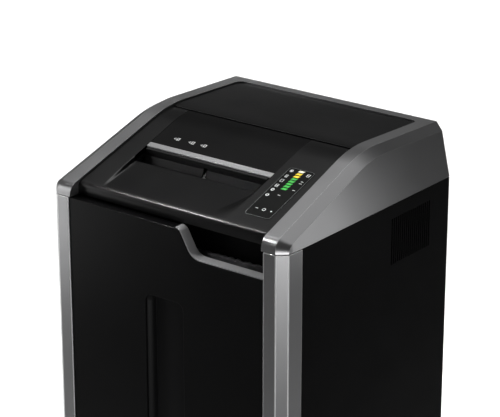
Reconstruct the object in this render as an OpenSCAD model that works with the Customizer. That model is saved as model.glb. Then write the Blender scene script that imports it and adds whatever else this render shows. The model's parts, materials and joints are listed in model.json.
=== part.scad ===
// Floor-standing office paper shredder: a silver-framed head with a sloped
// feed deck, a cabinet on four casters and a pull-out waste bin.
// Millimetres. +Z is up, the user stands on the -Y side, and the origin is on
// the floor under the middle of the cabinet.

/* [Cabinet] */
// Overall width
body_w = 480; // [470:2:490]
// Overall depth
body_d = 460; // [456:2:480]
// Height of the top of the posts, where the head sits, above the floor
post_top = 760; // [720:10:800]
// Height of the underside of the base above the floor
base_z = 75; // [72:1:78]
// Height of the base moulding
base_h = 25; // [22:1:28]

/* [Head] */
// Slope of the feed deck, in degrees
deck_angle = 18.5; // [17.5:0.5:19]
// Radius where the front face of a cheek turns into the slope
nose_r = 23; // [21:1:24]
// Width of the chamfer down the posts and round the top of the silver frame
chamfer_w = 17; // [15:1:19]
// Drop of that chamfer
chamfer_drop = 10.5; // [9:0.5:11]

/* [Feed] */
// Left end of the feed slot
slot_x0 = -149.5; // [-152:0.5:-147]
// Right end of the feed slot
slot_x1 = 107.5; // [106:0.5:108.5]

/* [Drawer] */
// Gap between the drawer front and each post
drawer_gap = 2; // [1.5:0.5:3]
// Thickness of the drawer front
drawer_t = 20; // [18:1:20]
// Width of the grip recess
grip_w = 77; // [70:1:84]
// Height of the grip recess
grip_h = 330; // [280:10:360]
// Depth of the grip recess
grip_deep = 30; // [26:1:30]

/* [Cutting block] */
// Outer radius of a cutting disc
disc_r = 30; // [29:0.5:30]
// Thickness of a cutting disc
disc_t = 5.6; // [5:0.1:5.8]
// Distance from one disc to the next on the same shaft
disc_pitch = 12; // [12:1:14]
// Teeth on each of the two gears that tie the cutters together
sync_teeth = 17; // [17:1:17]
// Teeth on each large gear of the reduction
wheel_teeth = 45; // [45:1:45]
// Teeth on each small gear of the reduction
pinion_teeth = 15; // [15:1:15]

/* [Casters] */
// Caster wheel radius
wheel_r = 25; // [24:0.5:25]
// Distance of a wheel's axle behind its swivel axis
trail = 18; // [16:1:20]

/* [Hidden] */
$fn = 64;

// General
fit = 0.06;
seam = 0.5;
half_w = body_w / 2;
half_d = body_d / 2;
floor_to_base_top = base_z + base_h;

// Colours
silver = [0.40, 0.40, 0.41];
black = [0.03, 0.03, 0.03];
charcoal = [0.10, 0.10, 0.11];
bare_steel = [0.62, 0.63, 0.65];
light_grey = [0.66, 0.66, 0.66];
board_green = [0.05, 0.25, 0.12];

// Post outline: front face, chamfer and side facet
post_w = 41;
post_return = 36;
facet_x = 2;
facet_y = 47;
cut_y = 14.5;
post_x = half_w - post_w;
skin = 3;
panel_wall = 4;

// Head side profile: y is measured back from the front face, z up from the
// top of the posts. The slope runs into a crown arc and a nearly flat top.
slope_ref = [50, 34];
crown_y0 = 205;
crown_y1 = 285;
rear_fall = 2;
draft = 0.13;
crown_r = (crown_y1 - crown_y0) / (sin(deck_angle) + sin(rear_fall));
crown_z0 = slope_ref[1] + (crown_y0 - slope_ref[0]) * tan(deck_angle);
crown_c = [crown_y0 + crown_r * sin(deck_angle), crown_z0 - crown_r * cos(deck_angle)];
nose_z = slope_ref[1] + (nose_r - slope_ref[0]) * tan(deck_angle) - nose_r / cos(deck_angle);

// Head openings and panels
head_h = 110;
rim_inner_x = 196;
rim_inner_y = body_d - 20;
rim_taper = 0.1;
rear_inner_x = 186.6;
rim_corner_r = 12;
hollow_inset = 12;
hollow_side = 8;
split_y = 253;
panel_inset = 4;
lid_inset = 2.5;
panel_t = 3;
ridge_y = 36;
ridge_r = 10;
panel_front_y = 20;
panel_front_z = 1;
slot_y0 = 110;
slot_y1 = 135;
rail_y0 = 140;
rail_y = 151;
scoop_angle = 13.5;

// Controls: the overlay lies on the right of the feed slot
overlay_x = [123, 173];
overlay_y = [50, 173];
overlay_t = 0.8;
overlay_r = 6;
key_r = 6.4;
key_gap = 0.4;
key_y = 68;
key_x = [135.5, 149.5, 163.5];
key_len = 6;
light_x = 148.5;
light_w = 9;
light_d = 4;
light_y0 = 122;
light_pitch = 6.5;
light_count = 8;
light_t = 0.4;

// Deck that carries the cutting block, and the drop opening in it
deck_z = -48;
deck_t = 3;
deck_top = deck_z + deck_t;
deck_front = 42;
drop_y = [85, 160];
drop_x = [-158, 118];

// Drawer: its top edge, and the notch at its top right corner
drawer_y = 2;
drawer_top = -1.5;
drawer_bottom = floor_to_base_top + 3 - post_top;
drawer_x = post_x - drawer_gap;
notch_depth = 45;
notch_x = 24;
notch_r0 = 14;
notch_r1 = 26;
notch_lean = 25;
trim_t = 2;
grip_top = -130;
grip_r = 14;
cup_wall = 2.5;
bin_x = 180;
bin_y = [38, 398];
bin_wall = 2.5;
bin_rim = -58;
rim_h = 6;
bin_floor = floor_to_base_top + 6;

// Floor of the base tray
base_floor = 6;

// Slides
slide_z = 160;
slide_y = [45, 445];
slide_h = 46;
wall_x = [197.5, 199.5];

// Cutting block, with every shaft axis at the same height
shaft_z = 0;
sync_module = 3;
cutter_gap = sync_teeth * sync_module;
cutter_y = [97, 97 + cutter_gap];
core_r = cutter_gap - disc_r - 1.2;
shaft_r = 10;
bush_r = 13;
block_x = [-165, 120];
plate_t = 5;
plate_y = [60, 187];
gear_plate_end = 290;
plate_slope = [[150, 42], [105, 26], [plate_y[0], 10]];
tie_y = [74, 167];
tie_z = -40.5;
tie_r = 4;
drive_module = 1.6;
motor_module = 1.5;
lay_y = cutter_y[1] + drive_module * (wheel_teeth + pinion_teeth) / 2;
motor_y = lay_y + motor_module * (wheel_teeth + pinion_teeth) / 2;
backlash = 0.5;
pressure = 20;
lay_pin_r = 5;
motor_r = 40;
motor_x = [-40, 118];

// Thickness lever
lever_pivot = [141, 42];
lever_pin_x = [-30, -10];
lever_pin_r = 2;
lever_x = [-22, -18];

// Feed guide: a mouth under the slot, which narrows to the gap between the cutters
mouth_z = 41;
nip_z = 29;
nip_y = [119, 126.5];
guide_t = 2;
guide_foot = 2.5;

// Circuit boards
board_t = 1.6;
standoff = 5;
control_board_x = [132, 178];
control_board_half = 58;
control_board_z = -14;
key_switch_y = -46;
key_switch_half = 3;
key_switch_top = -9;
power_board_x = [-190, -90];
power_board_y = [300, 420];
board_foot = 4;
board_foot_inset = 6;
transformer = [[-180, 320], [-135, 360]];
capacitor_c = [-112, 345];
capacitor_r = 14;

// Rear connections
inlet_x = 150;
inlet_z = -72;
rocker_tilt = 6;

// Fan behind the side vent
vent_y = [290, 405];
vent_z = [-105, -25];
vent_columns = 19;
fan_c = [204, 347.5, -88];
fan_size = 76;
fan_depth = 25;
blade_count = 7;
blade_lean = 0.7;

// Casters
caster_x = half_w - 68;
caster_y = half_d - 62;
wheel_half = 10;
wheel_edge = 2;
hub_r = 9;
web_r = 18;
leg_x = [11, 14];
axle_r = 4;
pin_r = 5;
crown_h = [59, 67];
brake_pivot = [30, 57];
brake_pin_r = 2.5;
caster_plate_w = 60;
caster_plate_t = 3;

// ---------------------------------------------------------------- helpers

// Head coordinates: y back from the front face, z up from the post tops
module at_head() {
    translate([0, -half_d, post_top])
    children();
}

// Front coordinates: y back from the front face, z up from the floor
module at_front() {
    translate([0, -half_d, 0])
    children();
}

// A shape drawn in (y, z), drawn out along X
module along_x(x0, x1) {
    translate([x0, 0, 0])
    rotate([90, 0, 90])
    linear_extrude(x1 - x0)
    children();
}

// A shape drawn in (x, z), drawn out along Y
module along_y(y0, y1) {
    translate([0, y1, 0])
    rotate([90, 0, 0])
    linear_extrude(y1 - y0)
    children();
}

module block(lo, hi) {
    translate(lo)
    cube(hi - lo);
}

// A rod along X through (y, z)
module rod_x(x0, x1, y, z, r) {
    translate([x0, y, z])
    rotate([0, 90, 0])
    cylinder(h = x1 - x0, r = r);
}

module both_sides() {
    children();
    mirror([1, 0, 0])
    children();
}

function arc(c, r, a0, a1, n) =
    [for (i = [0:n]) c + r * [cos(a0 + (a1 - a0) * i / n), sin(a0 + (a1 - a0) * i / n)]];

// Height of the silver frame's side profile at y
function rim_z(y) =
    y < crown_y0 ? slope_ref[1] + (y - slope_ref[0]) * tan(deck_angle)
    : y < crown_y1 ? crown_c[1] + sqrt(pow(crown_r, 2) - pow(y - crown_c[0], 2))
    : crown_c[1] + crown_r * cos(rear_fall) - (y - crown_y1) * tan(rear_fall);

// The side profile, moved inwards by inset
function profile(inset) = concat(
    [[inset, 0]],
    arc([nose_r, nose_z], nose_r - inset, 180, 90 + deck_angle, 8),
    arc(crown_c, crown_r - inset, 90 + deck_angle, 90 - rear_fall, 12),
    [[body_d - inset, rim_z(body_d - inset) - inset]],
    [[body_d - inset, 0]]);

// Points along a panel's surface, from y0 to y1
function panel_curve(y0, y1, drop) =
    [for (i = [0:10]) let (y = y0 + (y1 - y0) * i / 10) [y, rim_z(y) - drop]];

// A sheet between two depths below the side profile
module band(y0, y1, drop, t) {
    upper = panel_curve(y0, y1, drop);
    lower = panel_curve(y0, y1, drop + t);
    polygon(concat(upper, [for (i = [10:-1:0]) lower[i]]));
}

// Moves things from a flat plan onto the sloped deck: z = 0 is the panel face
module on_slope(y) {
    translate([0, y, rim_z(y) - panel_inset])
    rotate([deck_angle, 0, 0])
    children();
}

module round_rect(x, y, r) {
    translate([x[0] + r, y[0]])
    square([x[1] - x[0] - 2 * r, y[1] - y[0]]);
    translate([x[0], y[0] + r])
    square([x[1] - x[0], y[1] - y[0] - 2 * r]);
    for (cx = [x[0] + r, x[1] - r], cy = [y[0] + r, y[1] - r])
        translate([cx, cy])
        circle(r);
}

// The cabinet's plan: a rectangle with faceted front corners
function plan(inset) = [
    [-half_w + inset, body_d - inset],
    [-half_w + inset, facet_y],
    [-half_w + facet_x + inset, cut_y],
    [-half_w + chamfer_w + inset / 2, inset],
    [half_w - chamfer_w - inset / 2, inset],
    [half_w - facet_x - inset, cut_y],
    [half_w - inset, facet_y],
    [half_w - inset, body_d - inset]];

// Involute gear outline with a tooth centred on angle phase
function involute_angle(base_r, r) =
    r <= base_r ? 0 : (let (a = acos(base_r / r)) tan(a) * 180 / PI - a);
function gear_points(teeth, m, phase) =
    let (pitch_r = teeth * m / 2, base_r = pitch_r * cos(pressure),
         tip_r = pitch_r + 0.95 * m, root_r = pitch_r - 1.25 * m,
         half_tooth = 90 / teeth - backlash / 2 / pitch_r * 180 / PI
             + involute_angle(base_r, pitch_r),
         start_r = max(base_r, root_r))
    [for (i = [0:teeth - 1]) let (mid = phase + i * 360 / teeth)
        each concat(
            [root_r * [cos(mid - half_tooth), sin(mid - half_tooth)]],
            [for (k = [0:4]) let (r = start_r + (tip_r - start_r) * k / 4,
                                  a = mid - half_tooth + involute_angle(base_r, r))
                r * [cos(a), sin(a)]],
            [for (k = [4:-1:0]) let (r = start_r + (tip_r - start_r) * k / 4,
                                     a = mid + half_tooth - involute_angle(base_r, r))
                r * [cos(a), sin(a)]],
            [root_r * [cos(mid + half_tooth), sin(mid + half_tooth)]])];

module gear(x0, x1, y, teeth, m, phase, bore) {
    translate([0, y, shaft_z])
    along_x(x0, x1)
    difference() {
        polygon(gear_points(teeth, m, phase));
        circle(bore);
    }
}

// ------------------------------------------------------------------- head

// Solid bounded by an outline seen from the side and by drafted sides
module drafted(outline, side) {
    intersection() {
        along_x(-half_w, half_w)
        polygon(outline);
        along_y(0, body_d)
        polygon([[-half_w + side, 0], [half_w - side, 0],
                 [half_w - side - draft * head_h, head_h],
                 [-half_w + side + draft * head_h, head_h]]);
    }
}

// Where the chamfer meets the side: set back by cut_y at the foot and by
// chamfer_drop along the slope and the crown
chamfer_r = 14;
chamfer_c = [cut_y + chamfer_r,
             slope_ref[1] + (cut_y + chamfer_r - slope_ref[0]) * tan(deck_angle)
                 - (chamfer_drop + chamfer_r) / cos(deck_angle)];
chamfer_line = concat(
    [[cut_y, 0]],
    arc(chamfer_c, chamfer_r, 180, 90 + deck_angle, 8),
    arc(crown_c, crown_r - chamfer_drop, 90 + deck_angle, 90 - rear_fall, 12),
    [[body_d - chamfer_drop, rim_z(body_d - chamfer_drop) - chamfer_drop]],
    [[body_d - chamfer_drop, 0]]);

module head_form() {
    hull() {
        linear_extrude(0.5)
        polygon(plan(0));
        intersection() {
            drafted(chamfer_line, 0);
            linear_extrude(head_h)
            polygon(plan(0));
        }
        drafted(profile(0), chamfer_w);
    }
}

// The space between the cheeks, which narrows upwards, less a gap all round
module between_cheeks(gap) {
    w0 = rim_inner_x - gap;
    w1 = w0 - rim_taper * head_h;
    intersection() {
        along_y(-1, body_d)
        polygon([[-w0, 0], [-w0, -1], [w0, -1], [w0, 0], [w1, head_h], [-w1, head_h]]);
        translate([0, 0, -1])
        linear_extrude(head_h + 1) {
            translate([-w0, -1])
            square([2 * w0, crown_y1 + 16]);
            round_rect([-rear_inner_x + gap, rear_inner_x - gap], [crown_y0, rim_inner_y - gap],
                       rim_corner_r);
        }
    }
}

module top_frame() {
    color(silver)
    at_head()
    difference() {
        head_form();
        between_cheeks(0);
        translate([0, 0, -1])
        drafted(profile(hollow_inset), hollow_side);
    }
}

module rear_lid() {
    color(black)
    at_head()
    intersection() {
        along_x(-half_w, half_w)
        band(split_y + seam, rim_inner_y, lid_inset, panel_t);
        between_cheeks(seam);
    }
}

// Centre of the rolled ridge at the front of the feed deck
ridge_c = [panel_front_y + ridge_r,
           rim_z(panel_front_y + ridge_r) - panel_inset - ridge_r / cos(deck_angle)];

function reversed(points) = [for (i = [len(points) - 1:-1:0]) points[i]];

// A sheet panel_t thick: its outer line, its inner line and its front foot
module rolled_sheet(outer, inner) {
    polygon(concat([[panel_front_y, panel_front_z]], outer, reversed(inner),
                   [[panel_front_y + panel_t, panel_front_z]]));
}

// The roll of the ridge, up to where it meets the slope of the deck
function roll(r) = arc(ridge_c, r, 180, 90 + deck_angle, 8);

// The same roll, carried on down to the flatter floor of the scoop
function scoop_line(r) = let (over = arc(ridge_c, r, 90 + deck_angle, 90 + scoop_angle, 3))
    concat(roll(r), [over[1], over[2], over[3]],
           [over[3] + (slot_y0 - over[3][0]) * [1, tan(scoop_angle)]]);

module side_zone() {
    rolled_sheet(concat(roll(ridge_r), panel_curve(ridge_y, split_y, panel_inset)),
                 concat(roll(ridge_r - panel_t),
                        panel_curve(ridge_y, split_y, panel_inset + panel_t)));
}

module scoop_floor() {
    rolled_sheet(scoop_line(ridge_r), scoop_line(ridge_r - panel_t));
}

// The upright wall at either end of the scoop in front of the slot
module scoop_end() {
    top0 = rim_z(ridge_y) - panel_inset;
    top1 = rim_z(rail_y) - panel_inset;
    polygon([[ridge_y, top0 - 1], [rail_y, top1 - 1], [rail_y, top1 - panel_t], [slot_y1, 45],
             [slot_y0, 39], [ridge_y, top0 - 3.5]]);
}

module front_panel() {
    color(black)
    at_head()
    difference() {
        intersection() {
            union() {
                along_x(-half_w, slot_x0 - seam)
                side_zone();
                along_x(slot_x1 + seam, half_w)
                side_zone();
                along_x(slot_x0 - 1, slot_x1 + 1)
                scoop_floor();
                along_x(slot_x0 - panel_t, slot_x0 - seam)
                scoop_end();
                along_x(slot_x1 + seam, slot_x1 + panel_t)
                scoop_end();
            }
            between_cheeks(seam);
        }
        for (x = key_x)
            on_slope(key_y)
            translate([x, 0, -10])
            cylinder(h = 20, r = key_r + key_gap);
    }
}

module center_panel() {
    color(black)
    at_head()
    along_x(slot_x0 + 0.2, slot_x1 - 0.2)
    band(rail_y + seam, split_y, panel_inset, panel_t);
}

module sensor_rail() {
    top0 = rim_z(rail_y0) - panel_inset;
    top1 = rim_z(rail_y) - panel_inset;
    color(light_grey)
    at_head()
    along_x(slot_x0 + 0.2, slot_x1 - 0.2)
    polygon([[rail_y0, top0 - 0.5], [rail_y0 + 0.5, top0], [rail_y, top1],
             [rail_y, top1 - panel_t], [rail_y0 + 3, top0 - panel_t - 1],
             [rail_y0 + 3, top0 - 8], [rail_y0, top0 - 9]]);
}

module control_overlay() {
    y_mid = (overlay_y[0] + overlay_y[1]) / 2;
    run = (overlay_y[1] - overlay_y[0]) / 2 / cos(deck_angle);
    color(black)
    at_head()
    difference() {
        on_slope(y_mid)
        linear_extrude(overlay_t)
        round_rect(overlay_x, [-run, run], overlay_r);
        for (x = key_x)
            on_slope(key_y)
            translate([x, 0, -10])
            cylinder(h = 20, r = key_r + key_gap);
    }
}

module key(index) {
    color(charcoal)
    at_head()
    on_slope(key_y)
    translate([key_x[index], 0, overlay_t - key_len])
    cylinder(h = key_len, r = key_r);
}

module status_lights() {
    color("limegreen")
    at_head()
    for (i = [0:light_count - 1])
        on_slope(light_y0 + i * light_pitch)
        block([light_x - light_w / 2, -light_d / 2, overlay_t],
              [light_x + light_w / 2, light_d / 2, overlay_t + light_t]);
}

// ---------------------------------------------------------------- cabinet

module post() {
    color(silver)
    at_front()
    translate([0, 0, floor_to_base_top])
    linear_extrude(post_top - 1 - floor_to_base_top)
    polygon([[post_x, 0], [half_w - chamfer_w, 0], [half_w - facet_x, cut_y],
             [half_w, facet_y], [half_w - skin, facet_y],
             [half_w - facet_x - skin, cut_y + 1.5], [half_w - chamfer_w - 1, skin],
             [post_x + skin, skin], [post_x + skin, post_return], [post_x, post_return]]);
}

module side_panel(vented) {
    pitch = (vent_y[1] - vent_y[0]) / vent_columns;
    color(black)
    at_front()
    difference() {
        block([half_w - panel_wall, facet_y + seam, floor_to_base_top],
              [half_w, body_d, post_top - 1]);
        if (vented)
            for (i = [0:vent_columns - 1])
                translate([half_w - panel_wall - 1, vent_y[0] + i * pitch, post_top + vent_z[0]])
                cube([panel_wall + 2, pitch / 2, vent_z[1] - vent_z[0]]);
    }
}

module rear_panel() {
    color(black)
    at_front()
    difference() {
        block([-half_w + 4.5, body_d - 5, floor_to_base_top],
              [half_w - 4.5, body_d - 2, post_top - 1]);
        block([inlet_x - 36, body_d - 6, post_top + inlet_z - 17],
              [inlet_x + 36, body_d, post_top + inlet_z + 17]);
    }
}

// An open tray, with a pocket under each corner for a caster's plate
module base_pan() {
    color(black)
    difference() {
        at_front()
        translate([0, 0, base_z])
        difference() {
            linear_extrude(base_h)
            polygon(plan(0));
            translate([0, 0, base_floor])
            linear_extrude(base_h)
            polygon(plan(5));
        }
        for (side = [-1, 1], end = [-1, 1])
            at_caster(side, end)
            caster_plate(-1, 0.5);
    }
}

module frame_wall() {
    color(bare_steel)
    at_front()
    block([wall_x[0], 42, base_z + base_floor], [wall_x[1], body_d - 6, post_top + deck_z]);
}

module head_deck() {
    color(bare_steel)
    at_head()
    difference() {
        union() {
            block([-wall_x[1], deck_front, deck_z], [wall_x[1], body_d - 6, deck_top]);
            block([-wall_x[1] + 6, deck_front, deck_z], [wall_x[1] - 6, deck_front + 1.5, 8]);
        }
        block([drop_x[0], drop_y[0], deck_z - 1], [drop_x[1], drop_y[1], deck_top + 1]);
    }
}

// ----------------------------------------------------------------- drawer

// The S-shaped drop of the notch, moved down and left by inset
function notch_curve(inset) =
    let (c0 = [notch_x, drawer_top - notch_r0],
         c1 = [notch_x + 48.8, drawer_top - notch_depth + notch_r1])
    concat(arc(c0, notch_r0 - inset, 90, notch_lean, 8),
           arc(c1, notch_r1 + inset, 180 + notch_lean, 270, 8));

function drawer_outline(inset, drop) = concat(
    [[-drawer_x + inset, drawer_bottom + inset], [-drawer_x + inset, drawer_top - inset]],
    notch_curve(inset + drop),
    [[drawer_x - inset, drawer_top - notch_depth - inset - drop],
     [drawer_x - inset, drawer_bottom + inset]]);

module grip_outline(grow) {
    round_rect([-grip_w / 2 - grow, grip_w / 2 + grow],
               [grip_top - grip_h - grow, grip_top + grow], grip_r + grow);
}

module drawer_front() {
    color(black)
    at_head()
    difference() {
        along_y(drawer_y, drawer_y + drawer_t)
        polygon(drawer_outline(0, trim_t));
        along_y(drawer_y + skin, drawer_y + drawer_t + 1)
        polygon(drawer_outline(skin, trim_t));
        along_y(0, drawer_y + drawer_t)
        grip_outline(0);
    }
}

module grip_cup() {
    color(charcoal)
    at_head()
    difference() {
        union() {
            along_y(drawer_y + skin, drawer_y + grip_deep + cup_wall)
            grip_outline(cup_wall);
            along_y(drawer_y + skin, drawer_y + skin + 2)
            grip_outline(cup_wall + 6);
        }
        along_y(drawer_y, drawer_y + grip_deep)
        grip_outline(0);
    }
}

module notch_trim() {
    upper = notch_curve(0);
    lower = notch_curve(trim_t);
    last = len(upper) - 1;
    color(light_grey)
    at_head()
    along_y(drawer_y + 1, drawer_y + drawer_t)
    polygon(concat(upper, [[drawer_x, upper[last][1]], [drawer_x, lower[last][1]]],
                   [for (i = [last:-1:0]) lower[i]]));
}

module drawer_frame() {
    color(bare_steel)
    at_front() {
        block([-184.5, drawer_y + drawer_t, bin_floor - 2.5], [184.5, 400, bin_floor - 1]);
        both_sides()
        block([182.5, drawer_y + drawer_t, bin_floor - 2.5], [184.5, 400, slide_z + slide_h / 2]);
    }
}

module waste_bin() {
    color(charcoal)
    at_front()
    difference() {
        block([-bin_x, bin_y[0], bin_floor - 0.5], [bin_x, bin_y[1], post_top + bin_rim]);
        block([-bin_x + bin_wall, bin_y[0] + bin_wall, bin_floor + bin_wall],
              [bin_x - bin_wall, bin_y[1] - bin_wall, post_top]);
    }
}

module bag_frame() {
    lip = 4;
    reach = 8;
    color(charcoal)
    at_head()
    difference() {
        block([-bin_x - lip, bin_y[0] - lip, bin_rim],
              [bin_x + lip, bin_y[1] + lip, bin_rim + rim_h]);
        block([-bin_x + reach, bin_y[0] + reach, bin_rim - 1],
              [bin_x - reach, bin_y[1] - reach, bin_rim + rim_h + 1]);
    }
}

// A C-shaped slide member: its web at x0..x0+1.5, its lips reaching to x1
module channel(web_x, lip_x, h) {
    web = web_x > lip_x ? [web_x - 1.5, web_x] : [web_x, web_x + 1.5];
    lips = [min(web_x, lip_x), max(web_x, lip_x)];
    at_front()
    both_sides() {
        block([web[0], slide_y[0], slide_z - h / 2], [web[1], slide_y[1], slide_z + h / 2]);
        for (z = [slide_z - h / 2, slide_z + h / 2 - 1.5])
            block([lips[0], slide_y[0], z], [lips[1], slide_y[1], z + 1.5]);
    }
}

module slide_outers() {
    color(bare_steel)
    channel(wall_x[0], 190, slide_h);
}

module slide_middles() {
    color(bare_steel)
    channel(195.5, 188.2, slide_h - 5);
}

module slide_inners() {
    color(bare_steel)
    channel(184.5, 193.4, slide_h - 10);
}

module drawer_catch() {
    color(charcoal)
    at_head()
    block([-wall_x[0], 44, deck_z - 24], [-wall_x[0] + 10, 66, deck_z]);
}

// ---------------------------------------------------------- cutting block

function disc_x(shaft, i) = block_x[0] + plate_t + 3 + shaft * disc_pitch / 2 + i * disc_pitch;
disc_count = floor((block_x[1] - block_x[0] - plate_t - 6 - disc_pitch / 2) / disc_pitch);

module cutter(shaft, shaft_end) {
    y = cutter_y[shaft];
    color(bare_steel)
    at_head() {
        rod_x(block_x[0] - 8, shaft_end, y, shaft_z, shaft_r);
        rod_x(block_x[0] + plate_t + 1, block_x[1] - 1, y, shaft_z, core_r);
        for (i = [0:disc_count - 1])
            rod_x(disc_x(shaft, i), disc_x(shaft, i) + disc_t, y, shaft_z, disc_r);
    }
}

gear_x = block_x[1] + plate_t + 3;

module cutter_gear_front() {
    color(bare_steel)
    at_head()
    gear(gear_x, gear_x + 14, cutter_y[0], sync_teeth, sync_module, 0, shaft_r);
}

module cutter_gear_rear() {
    color(bare_steel)
    at_head() {
        gear(gear_x, gear_x + 14, cutter_y[1], sync_teeth, sync_module,
             180 + 180 / sync_teeth, shaft_r);
        gear(gear_x + 14, gear_x + 26, cutter_y[1], wheel_teeth, drive_module, 0, shaft_r);
    }
}

module layshaft_gear() {
    color(bare_steel)
    at_head() {
        gear(gear_x + 14, gear_x + 27, lay_y, pinion_teeth, drive_module,
             180 + 180 / pinion_teeth, lay_pin_r + fit);
        gear(gear_x + 27, gear_x + 37, lay_y, wheel_teeth, motor_module, 0, lay_pin_r + fit);
    }
}

module motor_shaft() {
    color(bare_steel)
    at_head() {
        rod_x(motor_x[0] - 18, gear_x + 26, motor_y, shaft_z, 4);
        gear(gear_x + 26, gear_x + 38, motor_y, pinion_teeth, motor_module,
             180 + 180 / pinion_teeth, 2);
        rod_x(gear_x + 26, gear_x + 38, motor_y, shaft_z, 4);
    }
}

module motor() {
    color(charcoal)
    at_head()
    difference() {
        union() {
            rod_x(motor_x[0], motor_x[1] - 12, motor_y, shaft_z, motor_r);
            rod_x(motor_x[1] - 12, block_x[1], motor_y, shaft_z, motor_r - 6);
            block([motor_x[0] + 30, motor_y - 25, deck_top],
                  [motor_x[1] - 30, motor_y + 25, shaft_z - 20]);
        }
        rod_x(motor_x[0] - 1, block_x[1] + 1, motor_y, shaft_z, 4 + fit);
    }
}

// One end plate of the cutting block, from the deck up to the slope of the feed panel
module block_plate(x, rear_y) {
    color(bare_steel)
    at_head()
    along_x(x, x + plate_t)
    difference() {
        polygon(concat([[plate_y[0], deck_top], [rear_y, deck_top], [rear_y, plate_slope[0][1]]],
                       plate_slope));
        for (y = cutter_y)
            translate([y, shaft_z])
            circle(bush_r);
        if (rear_y > motor_y)
            translate([motor_y, shaft_z])
            circle(7);
    }
}

module block_plate_left() {
    block_plate(block_x[0], plate_y[1]);
}

module block_plate_right() {
    block_plate(block_x[1], gear_plate_end);
}

module shaft_bushes() {
    color("goldenrod")
    at_head()
    for (x = block_x, y = cutter_y)
        translate([0, y, shaft_z])
        along_x(x, x + plate_t)
        difference() {
            circle(bush_r);
            circle(shaft_r + fit);
        }
}

// Combs in the gaps between the discs, which push paper off the cutters
module strippers() {
    spine_y = [cutter_y[0] - disc_r - 5, cutter_y[1] + disc_r + 1];
    reach = disc_r - core_r + 1;
    color(charcoal)
    at_head()
    for (side = [0, 1]) {
        block([block_x[0] + plate_t, spine_y[side], deck_top],
              [block_x[1], spine_y[side] + 4, -12]);
        for (i = [0:disc_count - 1])
            let (x = disc_x(side, i) + disc_t + 0.8,
                 y = side == 0 ? spine_y[0] + 3.9 : spine_y[1] - reach + 0.1)
            block([x, y, -34], [x + disc_pitch - disc_t - 1.6, y + reach, -22]);
    }
}

module tie_rods() {
    color(bare_steel)
    at_head() {
        for (y = tie_y)
            rod_x(block_x[0] + plate_t, block_x[1], y, tie_z, tie_r);
        rod_x(block_x[1] + plate_t, gear_x + 44, lay_y, shaft_z, lay_pin_r);
        rod_x(gear_x + 38, gear_x + 41, lay_y, shaft_z, lay_pin_r + 4);
    }
}

module feed_guide() {
    lip = rim_z(slot_y1) - panel_inset;
    color(charcoal)
    at_head()
    difference() {
        along_x(slot_x0 + 4, slot_x1 - 4) {
            polygon([[slot_y0 + 1, mouth_z], [slot_y0 + 1 + guide_t, mouth_z], [nip_y[0], nip_z],
                     [nip_y[0], nip_z - guide_t], [slot_y0 + 1, mouth_z - guide_foot]]);
            polygon([[slot_y1, lip - 1.5], [rail_y0 - seam, lip], [rail_y0 - seam, lip - 3],
                     [slot_y1 + guide_t, 48], [nip_y[1] + guide_foot, nip_z], [nip_y[1], nip_z],
                     [slot_y1, 46]]);
        }
        block([lever_x[0] - 2, 124, 20], [lever_x[1] + 2, 140, 49]);
    }
}

module thickness_lever() {
    color(charcoal)
    at_head() {
        rod_x(lever_pin_x[0], lever_pin_x[1], lever_pivot[0], lever_pivot[1], lever_pin_r);
        along_x(lever_x[0], lever_x[1])
        polygon([lever_pivot + [0, lever_pin_r], lever_pivot + [lever_pin_r, 0],
                 [128, nip_z], [125, nip_z + 2]]);
    }
}

module control_board() {
    y_mid = (overlay_y[0] + overlay_y[1]) / 2;
    color(board_green)
    at_head()
    on_slope(y_mid) {
        block([control_board_x[0], -control_board_half, control_board_z],
              [control_board_x[1], control_board_half, control_board_z + board_t]);
        for (x = key_x)
            block([x - key_switch_half, key_switch_y - key_switch_half, control_board_z + board_t],
                  [x + key_switch_half, key_switch_y + key_switch_half, key_switch_top]);
    }
}

module power_board() {
    board_z = deck_top + standoff;
    foot_end = board_foot_inset + board_foot;
    color(board_green)
    at_head() {
        block([power_board_x[0], power_board_y[0], board_z],
              [power_board_x[1], power_board_y[1], board_z + board_t]);
        for (x = [power_board_x[0] + board_foot_inset, power_board_x[1] - foot_end],
             y = [power_board_y[0] + board_foot_inset, power_board_y[1] - foot_end])
            block([x, y, deck_top], [x + board_foot, y + board_foot, board_z]);
        block([transformer[0][0], transformer[0][1], board_z + board_t],
              [transformer[1][0], transformer[1][1], deck_top + 40]);
        translate([capacitor_c[0], capacitor_c[1], board_z + board_t])
        cylinder(h = 45, r = capacitor_r);
    }
}

module power_inlet() {
    color(charcoal)
    at_head()
    difference() {
        block([inlet_x - 36, body_d - 30, inlet_z - 17],
              [inlet_x + 36, body_d - 1, inlet_z + 17]);
        block([inlet_x - 30, body_d - 20, inlet_z - 11], [inlet_x - 4, body_d, inlet_z + 11]);
        block([inlet_x + 10, body_d - 16, inlet_z - 11.5],
              [inlet_x + 30, body_d, inlet_z + 11.5]);
    }
    color(bare_steel)
    at_head()
    for (x = [-24, -17, -10])
        block([inlet_x + x - 1, body_d - 20, inlet_z - 3],
              [inlet_x + x + 1, body_d - 8, inlet_z + 3]);
}

module power_switch() {
    color(charcoal)
    at_head()
    translate([0, body_d - 7, inlet_z]) {
        rotate([-rocker_tilt, 0, 0])
        along_x(inlet_x + 11, inlet_x + 29)
        polygon([[-5, -7], [-5, 7], [2, 10], [4, 0], [2, -10]]);
        rod_x(inlet_x + 10.3, inlet_x + 29.7, 0, 0, 2);
    }
}

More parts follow.
